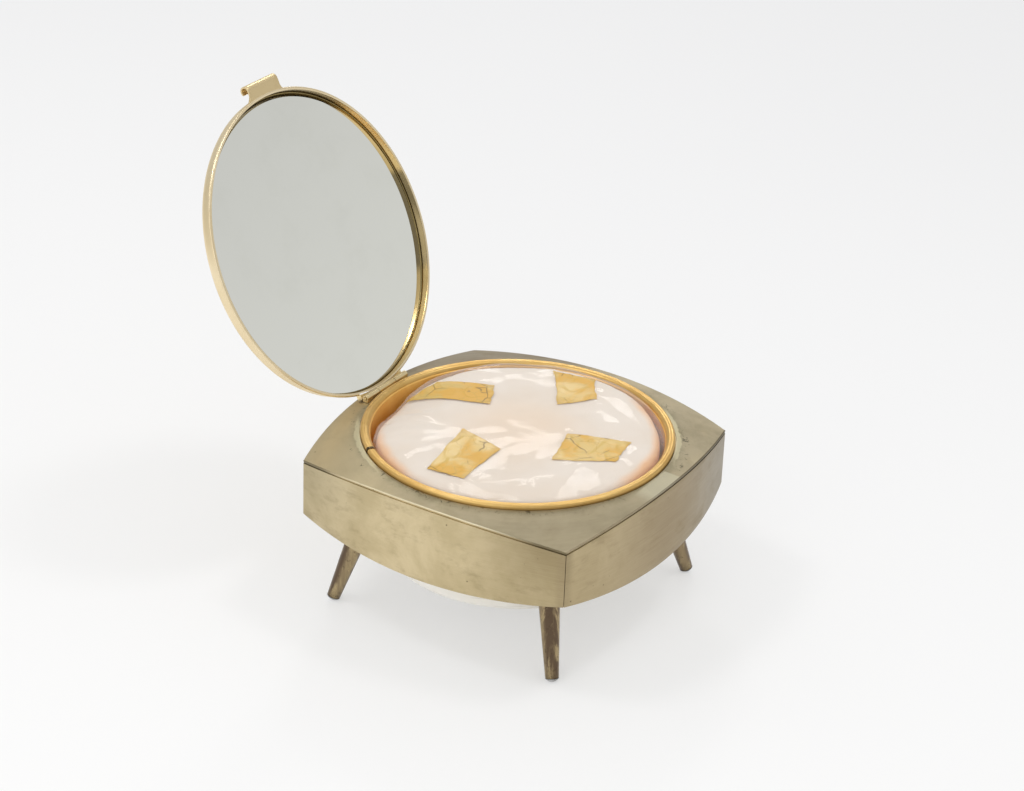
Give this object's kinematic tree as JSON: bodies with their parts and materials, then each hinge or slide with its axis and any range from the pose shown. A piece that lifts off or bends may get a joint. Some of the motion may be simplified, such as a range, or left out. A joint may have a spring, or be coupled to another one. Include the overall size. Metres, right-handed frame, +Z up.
{
  "type": "musical powder box",
  "caption": "Domed square brass powder box on splayed legs, with a hinged mirror lid, a gilt bowl, a wrapped puff and a wind-up comb movement.",
  "frame": {"origin": "on the floor between the four glides, on the axis of the bowl", "axes": "+Z up, +Y towards the hinge, -Y towards the thumb tab, +X to the right seen from the front"},
  "size_m": [0.1, 0.1437, 0.1355],
  "materials": {
    "top_plate": "grey-olive patina with dark specks and a polished patch",
    "side_walls": "satin khaki patina, worn bright on the edges",
    "base_plate": "dull satin",
    "base_pan": "ivory, smooth satin",
    "powder_well": "gilt, polished deep orange-gold",
    "bezel_ring": "gilt, polished with small scratches",
    "puff": "pale pink plush",
    "puff_wrap": "thin clear film with sharp creases",
    "tape": "yellowed clear tape, cracked",
    "legs": "dark bronze tone worn to brass in patches",
    "glides": "nickelled, worn",
    "steel": "machined",
    "hinge": "satin",
    "lid": "light satin brass",
    "mirror_retainer": "golden olive, polished",
    "mirror": "silvered glass",
    "mirror_backing": "raw grey-brown card",
    "movement_brass": "machined brass",
    "comb": "ground spring steel"
  },
  "bodies": {
    "case": {"top_plate": "top_plate", "base_plate": "base_plate", "base_pan": "base_pan", "powder_well": "powder_well", "bezel_ring": "bezel_ring", "puff": "puff", "puff_wrap": "puff_wrap", "side_wall_front": "side_walls", "tape_front": "tape", "side_wall_right": "side_walls", "tape_right": "tape", "side_wall_back": "side_walls", "tape_back": "tape", "side_wall_left": "side_walls", "tape_left": "tape", "leg_front_left": "legs", "glide_front_left": "glides", "leg_screw_front_left": "steel", "leg_front_right": "legs", "glide_front_right": "glides", "leg_screw_front_right": "steel", "leg_back_right": "legs", "glide_back_right": "glides", "leg_screw_back_right": "steel", "leg_back_left": "legs", "glide_back_left": "glides", "leg_screw_back_left": "steel", "hinge_knuckle_left": "hinge", "hinge_knuckle_right": "hinge", "hinge_pin": "hinge", "bedplate": "steel", "movement_screw_1": "steel", "movement_screw_2": "steel", "movement_screw_3": "steel", "comb_screw_1": "steel", "comb_screw_2": "steel", "lever_pin": "steel", "bearing_bracket_inner": "movement_brass", "bearing_bracket_outer": "movement_brass", "governor_frame": "movement_brass", "lever_bracket": "movement_brass", "comb": "comb"},
    "lid": {"lid_leaf": "lid", "lid_shell": "lid", "mirror_retainer": "mirror_retainer", "mirror": "mirror", "mirror_backing": "mirror_backing", "thumb_tab": "lid"},
    "winding_key": {"winding_key": "steel", "winding_arbor": "steel", "mainspring": "steel"},
    "spring_barrel": {"spring_barrel": "movement_brass"},
    "cylinder": {"cylinder_arbor": "steel", "pinned_cylinder": "movement_brass", "cylinder_wheel": "movement_brass"},
    "governor_arbor": {"governor_arbor": "movement_brass"},
    "worm_and_fly": {"worm_and_fly": "steel"},
    "start_rod": {"start_rod": "steel"},
    "brake_lever": {"brake_lever": "steel"}
  },
  "joints": [
    {"name": "lid_hinge", "type": "hinge", "parent": "case", "child": "lid", "pos_m": [0, 0.046, 0.05089], "axis": [1, 0, 0], "range_deg": [0, 117.6]},
    {"name": "start_rod_slide", "type": "slide", "parent": "case", "child": "start_rod", "axis": [0, 0, 1], "range_m": [0, 0.0012]},
    {"name": "brake_lever_pivot", "type": "hinge", "parent": "case", "child": "brake_lever", "pos_m": [0.00614, 0.04257, 0.03388], "axis": [1, 0, 0], "range_deg": [0, 11.07]},
    {"name": "winding_key_turn", "type": "hinge", "parent": "case", "child": "winding_key", "pos_m": [0.005, -0.012, 0.009], "axis": [0, 0, 1], "continuous": true},
    {"name": "spring_barrel_turn", "type": "hinge", "parent": "case", "child": "spring_barrel", "pos_m": [0.005, -0.012, 0.02], "axis": [0, 0, 1], "continuous": true},
    {"name": "cylinder_turn", "type": "hinge", "parent": "case", "child": "cylinder", "pos_m": [0.005, 0.012, 0.0289], "axis": [0, 1, 0], "continuous": true},
    {"name": "governor_turn", "type": "hinge", "parent": "case", "child": "governor_arbor", "pos_m": [0.00989, 0.026, 0.02308], "axis": [0, 1, 0], "continuous": true},
    {"name": "fly_turn", "type": "hinge", "parent": "case", "child": "worm_and_fly", "pos_m": [0.00614, 0.0289, 0.022], "axis": [0, 0, 1], "continuous": true}
  ],
  "couplings": [
    {"joint": "start_rod_slide", "follows": "lid_hinge", "m_per_rad": 0.000584},
    {"joint": "brake_lever_pivot", "follows": "lid_hinge", "ratio": 0.094},
    {"joint": "spring_barrel_turn", "follows": "governor_turn", "ratio": -0.083333},
    {"joint": "cylinder_turn", "follows": "governor_turn", "ratio": -0.25},
    {"joint": "fly_turn", "follows": "governor_turn", "ratio": -20}
  ]
}
